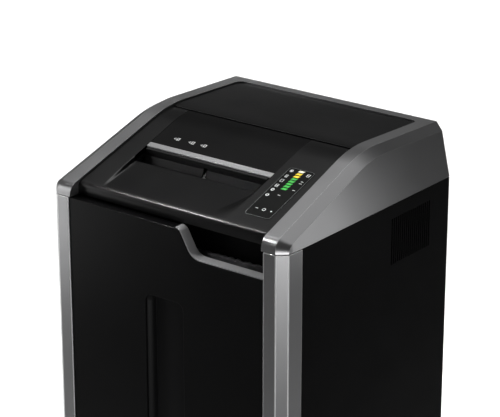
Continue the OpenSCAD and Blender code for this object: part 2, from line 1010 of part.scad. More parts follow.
module fan_frame() {
    color(charcoal)
    at_head()
    translate(fan_c)
    difference() {
        block([0, -fan_size / 2, -fan_size / 2], [fan_depth, fan_size / 2, fan_size / 2]);
        rod_x(4, fan_depth + 1, 0, 0, fan_size / 2 - 2);
        difference() {
            rod_x(-1, 5, 0, 0, fan_size / 2 - 2);
            rod_x(-2, 6, 0, 0, 14);
            block([-2, -fan_size / 2, -2], [6, fan_size / 2, 2]);
            block([-2, -2, -fan_size / 2], [6, 2, fan_size / 2]);
        }
    }
}

module fan_rotor() {
    color(charcoal)
    at_head()
    translate(fan_c) {
        rod_x(5, fan_depth - 2, 0, 0, 13);
        for (i = [0:blade_count - 1])
            rotate([i * 360 / blade_count, 0, 0])
            translate([6, 12, 0])
            multmatrix([[1, 0, 0, 0], [0, 1, 0, 0], [blade_lean, 0, 1, 0], [0, 0, 0, 1]])
            cube([15, 20, 1.6]);
    }
}

// ---------------------------------------------------------------- casters

module at_caster(side, end) {
    translate([side * caster_x, end * caster_y, 0])
    children();
}

// The square plate let into the base, drawn from drop below it and grown all round
module caster_plate(drop, grow) {
    half = caster_plate_w / 2 + grow;
    translate([-half, -half, base_z + drop])
    cube([2 * half, 2 * half, caster_plate_t - drop]);
}

module caster_mounts() {
    color(bare_steel)
    for (side = [-1, 1], end = [-1, 1])
        at_caster(side, end) {
            caster_plate(0, 0);
            translate([0, 0, crown_h[1] + 0.4])
            cylinder(h = base_z + 1 - crown_h[1], r = 15);
            translate([0, 0, crown_h[0] - 3])
            cylinder(h = base_z - crown_h[0], r = pin_r);
            translate([0, 0, crown_h[0] - 3.5])
            cylinder(h = 3, r = 8);
        }
}

module caster_fork(side, end, braked) {
    color(bare_steel)
    at_caster(side, end)
    difference() {
        union() {
            translate([0, 0, crown_h[0]])
            cylinder(h = crown_h[1] - crown_h[0], r = 20);
            both_sides()
            along_x(leg_x[0], leg_x[1])
            polygon([[-14, crown_h[1]], [14, crown_h[1]], [36, 62], [36, 52], [26, wheel_r],
                     [24, 19], [13, 19], [6, 32]]);
            rod_x(-leg_x[1] - 1.5, leg_x[1] + 1.5, trail, wheel_r, axle_r);
            both_sides()
            rod_x(leg_x[1], leg_x[1] + 2, trail, wheel_r, axle_r + 2);
        }
        translate([0, 0, crown_h[0] - 1])
        cylinder(h = 20, r = pin_r + fit);
        if (braked)
            rod_x(-20, 20, brake_pivot[0], brake_pivot[1], brake_pin_r + fit);
    }
}

module caster_wheel(side, end) {
    face = [[axle_r + fit, wheel_half], [hub_r, wheel_half], [hub_r, wheel_half - wheel_edge],
            [web_r, wheel_half - wheel_edge], [web_r + 1, wheel_half],
            [wheel_r - wheel_edge, wheel_half], [wheel_r, wheel_half - wheel_edge]];
    color(charcoal)
    at_caster(side, end)
    translate([0, trail, wheel_r])
    rotate([0, 90, 0])
    rotate_extrude()
    polygon(concat([for (p = face) [p[0], -p[1]]],
                   [for (i = [0:len(face) - 1]) face[len(face) - 1 - i]]));
}

module caster_brake(side) {
    color("firebrick")
    at_caster(side, -1) {
        along_x(-9.5, 9.5)
        polygon([[24, 53], [24, 61], [36, 61], [60, 51], [60, 47], [37, 53]]);
        rod_x(-leg_x[1] - 1, leg_x[1] + 1, brake_pivot[0], brake_pivot[1], brake_pin_r);
    }
}

top_frame();
rear_lid();
front_panel();
center_panel();
sensor_rail();
control_overlay();
key(0);  // key_reverse
key(1);  // key_power
key(2);  // key_forward
status_lights();
mirror([1, 0, 0]) post();  // post_left
post();  // post_right
mirror([1, 0, 0]) side_panel(false);  // side_panel_left
side_panel(true);  // side_panel_right
rear_panel();
base_pan();
mirror([1, 0, 0]) frame_wall();  // frame_wall_left
frame_wall();  // frame_wall_right
head_deck();
drawer_front();
grip_cup();
notch_trim();
drawer_frame();
waste_bin();
bag_frame();
slide_outers();
slide_middles();
slide_inners();
drawer_catch();
cutter(0, gear_x + 16);  // cutter_front
cutter(1, gear_x + 28);  // cutter_rear
cutter_gear_front();
cutter_gear_rear();
block_plate_left();
block_plate_right();
shaft_bushes();
strippers();
tie_rods();
feed_guide();
thickness_lever();
motor();
motor_shaft();
layshaft_gear();
control_board();
power_board();
power_inlet();
power_switch();
fan_frame();
fan_rotor();
caster_mounts();
caster_fork(-1, -1, true);  // caster_fork_front_left
caster_fork(1, -1, true);  // caster_fork_front_right
caster_fork(-1, 1, false);  // caster_fork_rear_left
caster_fork(1, 1, false);  // caster_fork_rear_right
caster_wheel(-1, -1);  // caster_wheel_front_left
caster_wheel(1, -1);  // caster_wheel_front_right
caster_wheel(-1, 1);  // caster_wheel_rear_left
caster_wheel(1, 1);  // caster_wheel_rear_right
caster_brake(-1);  // caster_brake_left
caster_brake(1);  // caster_brake_right
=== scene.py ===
"""Looks of a floor-standing office paper shredder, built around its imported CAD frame.

Metres, +Z up, the user stands on the -Y side. Shapes are given in millimetres, which
head(), deck() and MM turn into metres. Grain, stage, lights and camera are in metres.
"""

import json
import math
import random

import bmesh
import bpy
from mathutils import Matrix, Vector


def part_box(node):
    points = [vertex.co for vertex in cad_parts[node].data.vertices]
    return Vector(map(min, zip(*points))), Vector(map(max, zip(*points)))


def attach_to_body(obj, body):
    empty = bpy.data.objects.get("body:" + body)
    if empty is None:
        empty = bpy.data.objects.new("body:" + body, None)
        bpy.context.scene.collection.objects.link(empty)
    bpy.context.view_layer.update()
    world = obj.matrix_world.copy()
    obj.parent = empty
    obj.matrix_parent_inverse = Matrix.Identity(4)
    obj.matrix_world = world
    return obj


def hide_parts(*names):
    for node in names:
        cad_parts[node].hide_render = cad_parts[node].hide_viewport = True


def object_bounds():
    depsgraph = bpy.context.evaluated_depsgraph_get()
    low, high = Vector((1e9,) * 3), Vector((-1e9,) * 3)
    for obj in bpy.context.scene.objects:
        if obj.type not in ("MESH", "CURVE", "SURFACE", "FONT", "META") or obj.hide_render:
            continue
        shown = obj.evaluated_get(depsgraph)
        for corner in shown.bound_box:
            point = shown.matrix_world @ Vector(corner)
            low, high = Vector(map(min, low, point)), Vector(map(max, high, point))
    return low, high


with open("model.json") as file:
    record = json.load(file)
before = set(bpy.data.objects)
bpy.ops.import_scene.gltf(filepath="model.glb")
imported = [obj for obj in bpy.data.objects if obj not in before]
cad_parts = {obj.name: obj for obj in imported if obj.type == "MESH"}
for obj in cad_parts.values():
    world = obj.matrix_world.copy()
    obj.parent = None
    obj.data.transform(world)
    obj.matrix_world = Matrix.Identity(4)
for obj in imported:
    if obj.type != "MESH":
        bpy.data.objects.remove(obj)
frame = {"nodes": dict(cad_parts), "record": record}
cad_low, cad_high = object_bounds()
record = frame["record"]
body_of_node = {node: body for body, nodes in record["behaviour"]["bodies"].items() for node in nodes}
slot_of_node = {part["node"]: part["material_slot"] for part in record["subparts"]}

# ------------------------------------------------------------------ measures
MM = 0.001
front_y = cad_low.y
post_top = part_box("top_frame")[0].z
half_w = cad_high.x / MM
depth = (cad_high.y - cad_low.y) / MM

# Side profile of the head: y runs back from the front face, z up from the post tops
deck_angle = math.radians(18.5)
rear_fall = math.radians(2)
nose_r = 23
slope_y, slope_z = 50, 34
crown_y0, crown_y1 = 205, 285
crown_r = (crown_y1 - crown_y0) / (math.sin(deck_angle) + math.sin(rear_fall))
crown_cy = crown_y0 + crown_r * math.sin(deck_angle)
crown_cz = slope_z + (crown_y0 - slope_y) * math.tan(deck_angle) - crown_r * math.cos(deck_angle)
side_draft = 0.13
rim_taper = 0.1
chamfer_in, chamfer_down = 17, 10.5
chamfer_foot, chamfer_r = 14.5, 14
rim_inner_x = 196
rim_inner_y = depth - 20
rim_corner_r = 12
facet_x, facet_y = 2, 47


def head(x, y, z):
    """A point given in head millimetres, turned into metres in the shared frame."""
    return Vector((x * MM, front_y + y * MM, post_top + z * MM))


def node_box(node):
    """A CAD node's box in head millimetres: (x0, x1), (y0, y1), (z0, z1)."""
    low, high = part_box(node)
    return ((low.x / MM, high.x / MM),
            ((low.y - front_y) / MM, (high.y - front_y) / MM),
            ((low.z - post_top) / MM, (high.z - post_top) / MM))


def rim_z(y):
    """Height of the silver frame's side profile at y."""
    if y < crown_y0:
        return slope_z + (y - slope_y) * math.tan(deck_angle)
    if y < crown_y1:
        return crown_cz + math.sqrt(crown_r ** 2 - (y - crown_cy) ** 2)
    return crown_cz + crown_r * math.cos(rear_fall) - (y - crown_y1) * math.tan(rear_fall)


def arc(cy, cz, r, a0, a1, n):
    """Points on an arc, from angle a0 to a1 in radians, in n steps."""
    steps = [a0 + (a1 - a0) * i / n for i in range(n + 1)]
    return [(cy + r * math.cos(a), cz + r * math.sin(a)) for a in steps]


def spread(a, b, n):
    """n + 1 even steps from a to b."""
    return [a + (b - a) * i / n for i in range(n + 1)]


def smooth(t):
    """0 to 1 with level ends."""
    t = min(1.0, max(0.0, t))
    return t * t * (3 - 2 * t)


# ----------------------------------------------------------------- materials
def nodes_of(mat):
    """The material's node tree and its main shader."""
    mat.use_nodes = True
    tree = mat.node_tree
    return tree, tree.nodes["Principled BSDF"]


def noise(tree, coords, size, detail=2.0, stretch=(1, 1, 1)):
    """Noise with features of about size metres, stretched along an axis where stretch is small."""
    mapping = tree.nodes.new("ShaderNodeMapping")
    mapping.inputs["Scale"].default_value = stretch
    tex = tree.nodes.new("ShaderNodeTexNoise")
    tex.inputs["Scale"].default_value = 1 / size
    tex.inputs["Detail"].default_value = detail
    tree.links.new(coords, mapping.inputs["Vector"])
    tree.links.new(mapping.outputs["Vector"], tex.inputs["Vector"])
    return tex.outputs["Fac"]


def ranged(tree, value, low, high):
    """Maps noise onto low to high."""
    node = tree.nodes.new("ShaderNodeMapRange")
    node.inputs["From Min"].default_value = 0.3
    node.inputs["From Max"].default_value = 0.7
    node.inputs["To Min"].default_value = low
    node.inputs["To Max"].default_value = high
    tree.links.new(value, node.inputs["Value"])
    return node.outputs["Result"]


def finish_material(name, color, roughness, metallic=0.0, ior=1.45, grain=0.0006, bump=0.08,
                    mottle=0.08, stretch=(1, 1, 1), cloud=0.09):
    """A moulded, painted or metal finish: fine grain in bump and colour, cloudy gloss."""
    mat = bpy.data.materials.new(name)
    tree, shader = nodes_of(mat)
    shader.inputs["Metallic"].default_value = metallic
    shader.inputs["IOR"].default_value = ior
    coords = tree.nodes.new("ShaderNodeTexCoord").outputs["Object"]
    fine = noise(tree, coords, grain, 3.0, stretch)
    clouds = noise(tree, coords, cloud, 2.0)
    ramp = tree.nodes.new("ShaderNodeMix")
    ramp.data_type = "RGBA"
    ramp.inputs[6].default_value = (*[c * (1 - mottle) for c in color], 1)
    ramp.inputs[7].default_value = (*[min(1, c * (1 + mottle)) for c in color], 1)
    tree.links.new(fine, ramp.inputs[0])
    tree.links.new(ramp.outputs[2], shader.inputs["Base Color"])
    tree.links.new(ranged(tree, clouds, roughness * 0.92, roughness * 1.08),
                   shader.inputs["Roughness"])
    relief = tree.nodes.new("ShaderNodeBump")
    relief.inputs["Strength"].default_value = bump
    relief.inputs["Distance"].default_value = grain * 0.5
    tree.links.new(fine, relief.inputs["Height"])
    tree.links.new(relief.outputs["Normal"], shader.inputs["Normal"])
    return mat


def lamp_and_painted_glow_material(name, color, strength):
    """A surface that gives off a little light of its own: a lit lens, or print made to glow as painted
    light so that it reads bright.
    """
    mat = finish_material(name, color, 0.25, bump=0.02, mottle=0.04)
    shader = mat.node_tree.nodes["Principled BSDF"]
    shader.inputs["Emission Color"].default_value = (*color, 1)
    shader.inputs["Emission Strength"].default_value = strength
    return mat


silver = dict(color=(0.28, 0.28, 0.284), roughness=0.30, metallic=0.85, bump=0.04, grain=0.0005,
              mottle=0.05)
MATERIALS = {
    "silver_plastic": finish_material("silver_plastic", **silver),
    "silver_paint": finish_material("silver_paint", **silver),
    "black_plastic": finish_material("black_plastic", (0.0025, 0.0025, 0.0027), 0.34, ior=1.2,
                                     bump=0.08),
    "black_sheet": finish_material("black_sheet", (0.0022, 0.0022, 0.0024), 0.45, ior=1.1,
                                   bump=0.14, grain=0.0009),
    "gloss_overlay": finish_material("gloss_overlay", (0.006, 0.0065, 0.006), 0.18, ior=1.32,
                                     bump=0.02),
    "charcoal_plastic": finish_material("charcoal_plastic", (0.006, 0.006, 0.0065), 0.42,
                                        ior=1.3, bump=0.1),
    "bin_plastic": finish_material("bin_plastic", (0.045, 0.045, 0.048), 0.5, bump=0.15,
                                   grain=0.001),
    "light_trim": finish_material("light_trim", (0.45, 0.45, 0.455), 0.4, bump=0.12, grain=0.0009,
                                  mottle=0.14),
    "status_light": lamp_and_painted_glow_material("status_light", (0.08, 0.6, 0.1), 0.3),
    "zinc_steel": finish_material("zinc_steel", (0.52, 0.53, 0.55), 0.36, metallic=0.95,
                                  grain=0.004, mottle=0.12, bump=0.03),
    "cutter_steel": finish_material("cutter_steel", (0.36, 0.36, 0.37), 0.28, metallic=1.0,
                                    stretch=(0.08, 1, 1), bump=0.05, mottle=0.15),
    "bush_bronze": finish_material("bush_bronze", (0.5, 0.33, 0.15), 0.4, metallic=1.0, bump=0.2),
    "motor_enamel": finish_material("motor_enamel", (0.03, 0.03, 0.033), 0.35, bump=0.1),
    "circuit_board": finish_material("circuit_board", (0.02, 0.12, 0.05), 0.35, bump=0.05,
                                     mottle=0.2),
    "wheel_rubber": finish_material("wheel_rubber", (0.03, 0.03, 0.03), 0.7, bump=0.3),
    "brake_red": finish_material("brake_red", (0.40, 0.02, 0.015), 0.38, bump=0.06),
}
panel_gloss = finish_material("panel_gloss", (0.0025, 0.0025, 0.0027), 0.3, ior=1.33, bump=0.01)
trim_silver = finish_material("trim_silver", (0.36, 0.36, 0.365), 0.4, metallic=0.2, bump=0.04)
dark_gloss = finish_material("dark_gloss", (0.01, 0.01, 0.011), 0.18, bump=0.02)
# White print that also glows a little: painted light, so the print reads bright
print_white_painted_glow = lamp_and_painted_glow_material("print_white_painted_glow", (0.88, 0.89, 0.89), 0.25)
print_grey = finish_material("print_grey", (0.22, 0.23, 0.23), 0.5, bump=0.04)
lamp_green = MATERIALS["status_light"]
lamp_yellow = lamp_and_painted_glow_material("lamp_yellow", (0.95, 0.7, 0.05), 0.55)
lamp_white = lamp_and_painted_glow_material("lamp_white", (0.95, 0.92, 0.75), 0.6)
bag_film = finish_material("bag_film", (0.035, 0.035, 0.037), 0.3, bump=0.35, grain=0.006)
# Lighter grey for the lid's rounded edges: a painted highlight line
lid_edge_painted_highlight = finish_material("lid_edge_painted_highlight", (0.09, 0.09, 0.09), 0.4, bump=0.02)
# Near-white metal for the rounded edges of the silver frame and the posts: painted highlight lines
silver_edge_painted_highlight = finish_material("silver_edge_painted_highlight", (0.95, 0.95, 0.95), 0.5, metallic=1.0, bump=0.02)
screw_steel = finish_material("screw_steel", (0.06, 0.06, 0.065), 0.35, metallic=0.8, bump=0.1)


# ------------------------------------------------------------------- meshes
def new_object(name, mesh, mat):
    """An object in the scene, with one material."""
    obj = bpy.data.objects.new(name, mesh)
    bpy.context.scene.collection.objects.link(obj)
    mesh.materials.clear()
    mesh.materials.append(mat)
    return obj


def shade(obj, angle=30):
    """Smooth shading, kept crisp at edges sharper than angle."""
    mesh = obj.data
    mesh.shade_smooth()
    mesh.set_sharp_from_angle(angle=math.radians(angle))


def bevel(obj, width, segments=3, angle=20, edge_mat=None, curved=False):
    """Rounds the edges sharper than angle, by width millimetres. Flat faces stay flat unless curved."""
    mod = obj.modifiers.new("bevel", "BEVEL")
    mod.width = width * MM
    mod.segments = segments
    mod.limit_method = "ANGLE"
    mod.angle_limit = math.radians(angle)
    mod.miter_outer = "MITER_ARC"
    if edge_mat:
        obj.data.materials.append(edge_mat)
        mod.material = 1
    shade(obj, 180)
    if not curved:
        weighted = obj.modifiers.new("weighted", "WEIGHTED_NORMAL")
        weighted.weight = 100


def from_bmesh(name, bm, mat):
    """An object from a finished bmesh, with its doubles merged and its normals outward."""
    bmesh.ops.remove_doubles(bm, verts=bm.verts, dist=1e-6)
    bmesh.ops.recalc_face_normals(bm, faces=bm.faces)
    mesh = bpy.data.meshes.new(name)
    bm.to_mesh(mesh)
    bm.free()
    return new_object(name, mesh, mat)


def from_rows(name, rows, mat, closed=False, caps=False):
    """A skin over rows of points. closed joins each row's ends, caps fills the first and last row."""
    bm = bmesh.new()
    made = [[bm.verts.new(p) for p in row] for row in rows]
    count = len(rows[0])
    for above, below in zip(made, made[1:]):
        for i in range(count if closed else count - 1):
            j = (i + 1) % count
            bm.faces.new((above[i], above[j], below[j], below[i]))
    if caps:
        bm.faces.new(made[0])
        bm.faces.new(made[-1])
    return from_bmesh(name, bm, mat)


def prism(name, outline, low, high, place, mat):
    """A flat outline drawn out from low to high; place(u, v, w) gives the point."""
    rows = [[place(u, v, w) for u, v in outline] for w in (low, high)]
    return from_rows(name, rows, mat, closed=True, caps=True)


def round_outline(x0, x1, y0, y1, r, n=6):
    """A rectangle with round corners, anticlockwise."""
    corners = ((x1 - r, y0 + r, -90), (x1 - r, y1 - r, 0), (x0 + r, y1 - r, 90), (x0 + r, y0 + r, 180))
    points = []
    for cx, cy, start in corners:
        points += arc(cx, cy, r, math.radians(start), math.radians(start + 90), n)
    return points


def dress(obj, node):
    """The piece stands for a CAD node and rides where it rides."""
    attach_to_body(obj, body_of_node[node])
    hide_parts(node)


def attach(obj, body):
    """A piece with no CAD node of its own."""
    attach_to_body(obj, body)


def rounded_copy(node, width, segments=2, mat=None, edge_mat=None):
    """The CAD node's own shape with its edges rounded, as every moulded or folded edge is."""
    mesh = frame["nodes"][node].data.copy()
    bm = bmesh.new()
    bm.from_mesh(mesh)
    bmesh.ops.remove_doubles(bm, verts=bm.verts, dist=2e-6)
    bmesh.ops.dissolve_limit(bm, angle_limit=math.radians(0.4), verts=bm.verts, edges=bm.edges)
    bpy.data.meshes.remove(mesh)
    obj = from_bmesh(node + "_finished", bm, mat or MATERIALS[slot_of_node[node]])
    bevel(obj, width, segments, angle=25, edge_mat=edge_mat)
    dress(obj, node)


# --------------------------------------------------------------- silver head
def rim_path(inset, foot, radius):
    """The side profile moved inwards, from the front foot to the top rear corner."""
    nose_cy = foot + radius
    nose_cz = (slope_z + (nose_cy - slope_y) * math.tan(deck_angle)
               - (inset + radius) / math.cos(deck_angle))
    nose = arc(nose_cy, nose_cz, radius, math.pi, math.pi / 2 + deck_angle, 16)
    crown = arc(crown_cy, crown_cz, crown_r - inset, math.pi / 2 + deck_angle,
                math.pi / 2 - rear_fall, 24)
    path = [(foot, 0)] + nose
    for t in spread(0, 1, 6)[1:-1]:
        path.append((nose[-1][0] + (crown[0][0] - nose[-1][0]) * t,
                     nose[-1][1] + (crown[0][1] - nose[-1][1]) * t))
    path += crown
    for y in spread(crown_y1, depth - inset, 6)[1:]:
        path.append((y, rim_z(y) - inset))
    return path


def plan_x(y):
    """Outer edge of the cabinet's plan at y."""
    if y < facet_y:
        return half_w - facet_x * (facet_y - y) / (facet_y - chamfer_foot)
    return half_w


def ribbon(bm, a, b):
    """Faces between two rows of vertices, leaving out those with no area."""
    for i in range(len(a) - 1):
        if (b[i].co - a[i].co).length + (b[i + 1].co - a[i + 1].co).length > 1e-9:
            bm.faces.new((a[i], a[i + 1], b[i + 1], b[i]))


def top_frame():
    """Two cheeks joined by a rear band: flat top, chamfer and drafted side, as a closed skin."""
    bm = bmesh.new()
    outer = rim_path(0, 0, nose_r)
    inner = rim_path(chamfer_down, chamfer_foot, chamfer_r)
    inner_rear = rim_inner_x - rim_taper * rim_z(rim_inner_y)
    turn_y = rim_inner_y - rim_corner_r
    for side in (-1, 1):
        def vert(x, y, z):
            """A new vertex on this side of the head."""
            return bm.verts.new(head(side * x, y, z))
        rows = []
        for (y, z), (yc, zc) in zip(outer, inner):
            edge_x = half_w - chamfer_in - side_draft * z
            side_x = min(half_w - side_draft * zc, plan_x(yc))
            in_y = min(y, turn_y)
            in_z = z if y < turn_y else rim_z(turn_y)
            in_x = rim_inner_x - rim_taper * in_z
            rows.append([vert(in_x, in_y, 0), vert(in_x, in_y, in_z), vert(edge_x, y, z),
                         vert(side_x, yc, zc), vert(plan_x(yc), yc, 0)])
        for a, b in zip(rows, rows[1:]):
            ribbon(bm, a, b)
            bm.faces.new((a[0], b[0], b[4], a[4]))
        last = rows[-1]
        bm.faces.new(rows[0])
        # The cheek's rear corner, then the band from the opening's round corner to the middle
        corner_bottom = vert(half_w, depth, 0)
        bm.faces.new((last[2], last[3], corner_bottom))
        bm.faces.new((last[3], last[4], corner_bottom))
        centre = inner_rear - rim_corner_r
        quarter = arc(centre, turn_y, rim_corner_r, 0, math.pi / 2, 8)
        band = [(x, y, half_w - chamfer_in - side_draft * rim_z(depth)) for x, y in quarter]
        band += [(x, rim_inner_y, x) for x in spread(centre, 0, 4)[1:]]
        tops = []
        for x, y, out_x in band:
            tops.append((vert(x, y, 0), vert(x, y, rim_z(y)), vert(out_x, depth, rim_z(depth)),
                         vert(out_x, depth, 0)))
        for a, b in zip(tops, tops[1:]):
            ribbon(bm, a, b)
            bm.faces.new((a[0], b[0], b[3], a[3]))
        bm.faces.new((tops[0][2], tops[0][3], corner_bottom))
        bm.faces.new((last[0], tops[0][3], corner_bottom, last[4]))
    bmesh.ops.remove_doubles(bm, verts=bm.verts, dist=1e-6)
    bmesh.ops.dissolve_degenerate(bm, edges=bm.edges, dist=1e-6)
    obj = from_bmesh("top_frame_finished", bm, MATERIALS["silver_plastic"])
    # Its rounded edges take the near-white metal: painted highlight lines along the cheeks
    bevel(obj, 1.6, 3, angle=14, edge_mat=silver_edge_painted_highlight)
    dress(obj, "top_frame")


top_frame()

# --------------------------------------------------------------- feed deck
panel_inset = 4
lid_inset = 2.5
panel_t = 3
front_skin = 1.8
gap = 0.5
(slot_x0, slot_x1), (rail_y0, rail_y1), _ = node_box("sensor_rail")
(_, _), (panel_front_y, split_y), (panel_front_z, _) = node_box("front_panel")
ridge_r = 10
ridge_y = panel_front_y + ridge_r
ridge_z = rim_z(ridge_y) - panel_inset - ridge_r / math.cos(deck_angle)
slot_y0 = 110
scoop_angle = math.radians(13.5)
scoop_end_right, scoop_widen_right = 7, 30
scoop_end_left, scoop_widen_left = 3, 4
lean_from, lean_share = 0.8, 0.2
deck_normal = Vector((0, -math.sin(deck_angle), math.cos(deck_angle)))


def deck(x, y, height=0.0):
    """A point height millimetres above the sloped panel."""
    return head(x, y, rim_z(y) - panel_inset) + deck_normal * height * MM


def panel_x(z):
    """Half width of the space between the cheeks at height z, less the gap."""
    return rim_inner_x - gap - rim_taper * z


def scoop_share(x, y):
    """0 on the flat zones beside the slot, 1 in the scoop, with ends that widen to the ridge."""
    near_ridge = smooth((slot_y0 - y) / (slot_y0 - ridge_y))
    right = smooth((slot_x1 - x) / (scoop_end_right + scoop_widen_right * near_ridge))
    left = smooth((x - slot_x0) / (scoop_end_left + scoop_widen_left * near_ridge))
    return right * left


def deck_height(x, y):
    """The front panel's surface behind its rolled ridge."""
    plain = rim_z(y) - panel_inset
    tangent_y = ridge_y - ridge_r * math.sin(scoop_angle)
    tangent_z = ridge_z + ridge_r * math.cos(scoop_angle)
    scooped = tangent_z + (y - tangent_y) * math.tan(scoop_angle)
    return plain + (min(scooped, plain) - plain) * scoop_share(x, y)


def taper(x, z):
    """The outer fifth of the panel follows the cheeks, which lean in towards the top."""
    share = max(0, abs(x) / panel_x(0) - lean_from) / lean_share
    return x + math.copysign(share * (panel_x(z) - panel_x(0)), x)


def front_panel():
    """The black panel: front roll, flat zones at the sides, and the scoop before the slot."""
    roll = arc(ridge_y, ridge_z, ridge_r, math.pi, math.pi / 2 + deck_angle, 12)
    near = spread(roll[-1][0], slot_y0, 26)[1:]
    far = spread(slot_y0, split_y, 24)[1:]
    # Columns stand closest together at the ends of the slot, where the scoop blends in
    xs = (spread(-panel_x(0), slot_x0 - 1, 8) + spread(slot_x0 - 0.5, slot_x0 + 8, 10)
          + spread(slot_x0 + 12, slot_x1 - 40, 20) + spread(slot_x1 - 38, slot_x1, 24)
          + spread(slot_x1 + 1, panel_x(0), 14))
    bm = bmesh.new()
    columns = []
    for x in xs:
        line = [(panel_front_y, panel_front_z)] + roll
        line += [(y, deck_height(x, y)) for y in near]
        if not slot_x0 < x < slot_x1:
            line += [(y, deck_height(x, y)) for y in far]
        columns.append([bm.verts.new(head(taper(x, z), y, z)) for y, z in line])
    for left, right in zip(columns, columns[1:]):
        for i in range(min(len(left), len(right)) - 1):
            bm.faces.new((left[i], right[i], right[i + 1], left[i + 1]))
    obj = from_bmesh("front_panel_finished", bm, panel_gloss)
    thick = obj.modifiers.new("thickness", "SOLIDIFY")
    thick.thickness = front_skin * MM
    thick.offset = -1
    bevel(obj, 0.7, 3, angle=35, curved=True)
    dress(obj, "front_panel")


front_panel()


def rear_lid():
    """The lid over the works: round corners, and a bevelled front edge that stands proud."""
    y0, y1 = split_y + 2 * gap, rim_inner_y - gap
    corner = 9
    ys = [y0 + corner * (1 - math.cos(a)) for a in spread(0, math.pi / 2, 8)]
    ys += spread(y0 + corner, y1 - rim_corner_r, 24)[1:]
    ys += [y1 - rim_corner_r * (1 - math.sin(a)) for a in spread(0, math.pi / 2, 8)][1:]
    rows = []
    for y in ys:
        z = rim_z(y) - lid_inset
        half = panel_x(z)
        if y < y0 + corner:
            half -= corner - math.sqrt(max(0, corner ** 2 - (y0 + corner - y) ** 2))
        if y > y1 - rim_corner_r:
            half -= rim_corner_r - math.sqrt(max(0, rim_corner_r ** 2 - (y - y1 + rim_corner_r) ** 2))
        rows.append([head(x, y, z) for x in spread(-half, half, 12)]
                    + [head(x, y, z - panel_t) for x in spread(half, -half, 12)])
    obj = from_rows("rear_lid_finished", rows, MATERIALS["black_plastic"], closed=True, caps=True)
    # The rounded edges all round take lighter grey: a painted highlight line
    bevel(obj, 1.3, 3, angle=35, edge_mat=lid_edge_painted_highlight)
    dress(obj, "rear_lid")


rear_lid()
rounded_copy("center_panel", 0.8, 3)


def rail():
    """A light strip over a dark glossy lip that holds the paper sensors."""
    top0, top1 = rim_z(rail_y0) - panel_inset, rim_z(rail_y1) - panel_inset
    strip = [(rail_y0 + 1, top0 + 0.1), (rail_y1, top1), (rail_y1, top1 - 2.5),
             (rail_y0 + 1, top0 - 2)]
    lip = [(rail_y0, top0 - 2.4), (rail_y0 + 4, top0 - 2.4), (rail_y0 + 4, top0 - 10),
           (rail_y0, top0 - 9)]
    for name, outline, mat in (("rail_strip", strip, MATERIALS["light_trim"]),
                               ("rail_lip", lip, dark_gloss)):
        obj = prism(name, outline, slot_x0, slot_x1, lambda y, z, x: head(x, y, z), mat)
        bevel(obj, 0.5, 3)
        dress(obj, "sensor_rail")


rail()

# ------------------------------------------------------------------ controls
overlay_t = 0.8
print_t = 0.12
edge_line, edge_line_r = 0.8, 5.4
overlay_x, overlay_y = (123, 173), (50, 173)
key_y = 68
key_x = {"key_reverse": 135.5, "key_power": 149.5, "key_forward": 163.5}
light_x, light_y, light_pitch = 148.5, 122, 6.5
light_w, light_d, light_t, light_lean = 9.5, 4.6, 0.4, 1.1


def circle(r, n=18):
    """n points round a circle about the origin."""
    return [(r * math.cos(a), r * math.sin(a)) for a in spread(0, 2 * math.pi, n)[:-1]]


def frame_line(w, h):
    """The four corners of a box about the origin."""
    return [(-w / 2, -h / 2), (w / 2, -h / 2), (w / 2, h / 2), (-w / 2, h / 2)]


# Printed shapes: points to the right and up the slope, line width, whether the line closes
RING = (circle(2.7), 1.1, True)
DOT = (circle(0.8), 1.6, True)
PAGE = (frame_line(4.8, 6.2), 1.2, True)
BAR = ([(-2.6, 0), (2.6, 0)], 1.2, False)
UPPER_BAR = ([(-2.6, 2.6), (2.6, 2.6)], 1.2, False)
LOWER_BAR = ([(-2.6, -2.6), (2.6, -2.6)], 1.2, False)
POINTER = ([(1.5, -2), (1.5, 2), (-1.7, 0)], 1.3, True)
SLASH = ([(-2.1, -2.1), (2.1, 2.1)], 0.9, False)


def print_shape(bm, x, y, shape, height):
    """Lays one printed line on the sloped panel, round (x, y)."""
    points, width, closed = shape
    count = len(points)
    rows = []
    for i, (u, v) in enumerate(points):
        before = points[i - 1] if closed or i else points[i]
        after = points[(i + 1) % count] if closed or i < count - 1 else points[i]
        along = (Vector(after) - Vector(before)).normalized()
        across = Vector((-along.y, along.x)) * width / 2
        rows.append([bm.verts.new(deck(x + u + side * across.x,
                                       y + (v + side * across.y) * math.cos(deck_angle), height))
                     for side in (-1, 1)])
    for a, b in zip(rows, rows[1:] + rows[:1] if closed else rows[1:]):
        bm.faces.new((a[0], b[0], b[1], a[1]))


def printed(name, marks, body, height, mat=None):
    """Thin raised print: marks are (x, y, shape)."""
    bm = bmesh.new()
    for x, y, shape in marks:
        print_shape(bm, x, y, shape, height)
    # With no material given, the print is white and glows a little: painted light
    obj = from_bmesh(name, bm, mat or print_white_painted_glow)
    thick = obj.modifiers.new("thickness", "SOLIDIFY")
    thick.thickness = print_t * MM
    thick.offset = 0
    attach(obj, body)


def overlay_marks():
    """Where each icon of the overlay goes: two columns beside the lights, a bar in front."""
    left = ((165, (RING, DOT)), (151, (UPPER_BAR, BAR, LOWER_BAR)), (139, (PAGE,)),
            (126, (PAGE, BAR)), (115, (RING, SLASH)), (101, (POINTER, RING)))
    right_side = ((163, (PAGE, BAR)), (144, (UPPER_BAR, LOWER_BAR)), (124, (BAR,)))
    marks = [(131, y, shape) for y, shapes in left for shape in shapes]
    marks += [(165, y, shape) for y, shapes in right_side for shape in shapes]
    marks.append((150, 106, BAR))
    return marks


